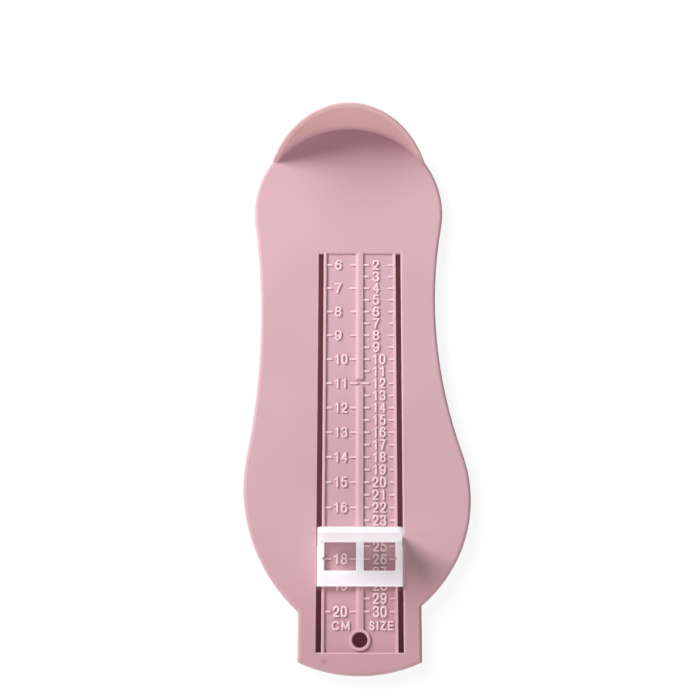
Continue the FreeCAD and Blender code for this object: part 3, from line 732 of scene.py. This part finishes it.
numbers = [scale_number("centimetres", centimetres, LEFT_COLUMN, centimetres * CENTIMETRE)
           for centimetres in CENTIMETRES]
numbers += [scale_number("shoe_size", shoe_size, RIGHT_COLUMN,
                         (shoe_size + SIZES_BEFORE_ZERO) * SIZE_STEP)
            for shoe_size in SHOE_SIZES]
print("numbers:", len(numbers))

# %% [markdown]
# Under the last numbers each scale says what it counts. The words are lower than the numbers
# and their strokes a little finer.

# %% The words at the toe end
WORD_CUT = {"reading": 205.3, "high": 3.65, "boldness": 1.3}

raised_number("word_centimetres", "CM", left=-10.85, cell=3.2, gap=0.7, **WORD_CUT)
raised_number("word_size", "SIZE", left=3.5, cell=2.4, gap=0.55, **WORD_CUT)
print("words stand at reading", WORD_CUT["reading"])

# %% [markdown]
# The device stands on a wide plain floor. Seen directly it is nearly white, yet it has to
# show the soft shadow of the board. A white floor would throw much light back up at the
# plastic, so this one is matt and dark grey, with a glow on top. Only the camera sees that
# glow, itself, in a reflection or through something clear.

# %% The floor
FLOOR_HALF = 3.0  # m
FLOOR_DROP = 0.05 * MM
FLOOR_GREY = 0.16
FLOOR_GLOW = 0.87


def seen_directly(recipe):
    """One for what the camera sees, also in a reflection or through something clear."""
    rays = recipe.node("LightPath").outputs
    seen = recipe.reckon("MAXIMUM", rays["Is Camera Ray"], rays["Is Glossy Ray"])
    return recipe.reckon("MAXIMUM", seen, rays["Is Transmission Ray"])


def floor_material():
    """A matt floor with its glow."""
    recipe = plain_recipe("pale_floor", Roughness=0.95, Specular_IOR_Level=0.1,
                          Base_Color=(FLOOR_GREY, FLOOR_GREY, FLOOR_GREY, 1))
    strength = recipe.reckon("MULTIPLY", seen_directly(recipe), FLOOR_GLOW)
    glow = recipe.node("Emission", Color=(1, 1, 1, 1), Strength=strength)
    both = recipe.node("AddShader")
    recipe.fill(both.inputs[0], recipe.shader.outputs["BSDF"])
    recipe.fill(both.inputs[1], glow.outputs["Emission"])
    output = recipe.tree.nodes["Material Output"]
    recipe.fill(output.inputs["Surface"], both.outputs["Shader"])
    return recipe.material


def flat_sheet(name, corners, height, material):
    """A flat level sheet with the given corners."""
    mesh = bpy.data.meshes.new(name)
    mesh.from_pydata([(corner[0], corner[1], 0) for corner in corners], [],
                     [tuple(range(len(corners)))])
    mesh.materials.append(material)
    sheet = bpy.data.objects.new(name, mesh)
    sheet.location.z = height
    bpy.context.scene.collection.objects.link(sheet)
    return sheet


floor_corners = [(-FLOOR_HALF, -FLOOR_HALF), (FLOOR_HALF, -FLOOR_HALF),
                 (FLOOR_HALF, FLOOR_HALF), (-FLOOR_HALF, FLOOR_HALF)]
floor = flat_sheet("floor", floor_corners, -FLOOR_DROP, floor_material())
print("floor:", 2 * FLOOR_HALF, "m wide")

# %% [markdown]
# The slots and the hanging hole go right through the board, and the real ones look dark because
# hardly any light gets under it. The floor's glow would shine through them, so a card lies under
# the middle of the board, where its skirt hides it on all sides. Its colour is painted shade,
# deeper towards the toes, and its own faint glow stands for the pink light that the plastic lets
# through.

# %% The dark card
CARD_HEEL = from_srgb(198, 138, 145)
CARD_TOE = from_srgb(150, 78, 86)
CARD_GLOW = from_srgb(62, 36, 40)
CARD_DEEPENS = (160, 185)  # the readings between which one colour turns into the other
CARD_DROP = 0.03 * MM
CARD_EDGE = [(-19, 15), (19, 15), (19, 220), (-19, 220)]


def card_material():
    """Matt card whose colour is painted shade, with a faint painted glow, deeper towards the toes.
    """
    recipe = patterned_recipe("dark_card", Roughness=0.9, Specular_IOR_Level=0.1,
                              Emission_Color=CARD_GLOW, Emission_Strength=1.0)
    start, end = (on_scale(0, reading).y for reading in CARD_DEEPENS)
    towards_toe = recipe.ramp(recipe.axes["Y"], start, end)
    recipe.drive(Base_Color=recipe.mix(towards_toe, CARD_HEEL, CARD_TOE))
    return recipe.material


card_corners = [on_scale(across, reading) for across, reading in CARD_EDGE]
card = flat_sheet("card", card_corners, -CARD_DROP, card_material())
print("card:", in_mm(card.dimensions), "mm")

# %% [markdown]
# Light comes from a room and one large soft lamp. The room is dim, and bright only on the toe
# side, as if a wide window stood there. That lights the front of the toe stop and the inside
# of the heel wall. Such a room could be an image wrapped round the scene. A few sums on the
# direction of the light do the same, and each number says what it changes. Where the camera
# sees the room, it is plain white.

# %% The room
ROOM_DIM = 0.1
WINDOW_BRIGHT = 2.7
WINDOW_POWER = 3  # how fast the window's light fades away from the toe side
ROOM_SEEN = 1.0

room = bpy.data.worlds.new("room")
bpy.context.scene.world = room
light = Recipe(room, "Background")
direction = light.node("TexCoord").outputs["Generated"]
heelwards = light.node("SeparateXYZ", Vector=direction).outputs["Y"]
toewards = light.reckon("MAXIMUM", light.reckon("MULTIPLY", heelwards, -1.0), 0.0)
window = light.reckon("POWER", toewards, WINDOW_POWER)
room_light = light.reckon("MULTIPLY_ADD", window, WINDOW_BRIGHT, ROOM_DIM)
brightness = light.node("MapRange", Value=seen_directly(light), To_Min=room_light,
                        To_Max=ROOM_SEEN)
light.drive(Color=(1, 1, 1, 1), Strength=brightness.outputs["Result"])
print("the room's light runs from", ROOM_DIM, "to", round(ROOM_DIM + WINDOW_BRIGHT, 2))

# %% [markdown]
# The lamp stands beyond the heel on the left, so the toe stop throws a soft shadow to the
# right and towards the toes. It is a wide disk, because the edge of a shadow is as soft as
# its lamp is wide. It looks at the heel and is shaded at its sides, which leaves the toe end
# a little darker.

# %% The lamp
LAMP_PLACE = Vector((-0.675, 0.56, 0.74))
LAMP_AIM = Vector((0.05, 0.10, 0))
LAMP_WIDE = 0.68
LAMP_SPREAD = math.radians(75)
LAMP_POWER = 2.88

soft_light = bpy.data.lights.new("soft_lamp", "AREA")
soft_light.shape = "DISK"
soft_light.size = LAMP_WIDE
soft_light.spread = LAMP_SPREAD
soft_light.energy = LAMP_POWER
soft_lamp = bpy.data.objects.new("soft_lamp", soft_light)
soft_lamp.location = LAMP_PLACE
soft_lamp.rotation_euler = (LAMP_AIM - LAMP_PLACE).to_track_quat("-Z", "Y").to_euler()
bpy.context.scene.collection.objects.link(soft_lamp)
print("the lamp stands", round((LAMP_PLACE - LAMP_AIM).length, 2), "m from the heel")

# %% [markdown]
# The camera looks down from half a metre above the toe end, tilted 15 degrees towards the
# heel, so that the inside of the heel wall and the front of the toe stop both show. From
# there a long lens shows the whole device, and lines that are parallel stay nearly so.

# %% The camera
EYE_PLACE = Vector((-2.6, -122.57, 518)) * MM
EYE_TILT = math.radians(15)
EYE_ROLL = math.radians(0.1)
LENS = 67.6  # mm
FILM = 36  # mm

eye_data = bpy.data.cameras.new("eye")
eye_data.lens = LENS
eye_data.sensor_width = FILM
eye = bpy.data.objects.new("eye", eye_data)
eye.location = EYE_PLACE
eye.rotation_euler = (EYE_TILT, 0, EYE_ROLL)
bpy.context.scene.collection.objects.link(eye)
bpy.context.scene.camera = eye
bpy.context.scene.view_settings.view_transform = "Standard"
print("camera at", in_mm(eye.location), "mm")

# %% [markdown]
# Last, the scene is brought up to date.

# %% Finish
bpy.context.view_layer.update()
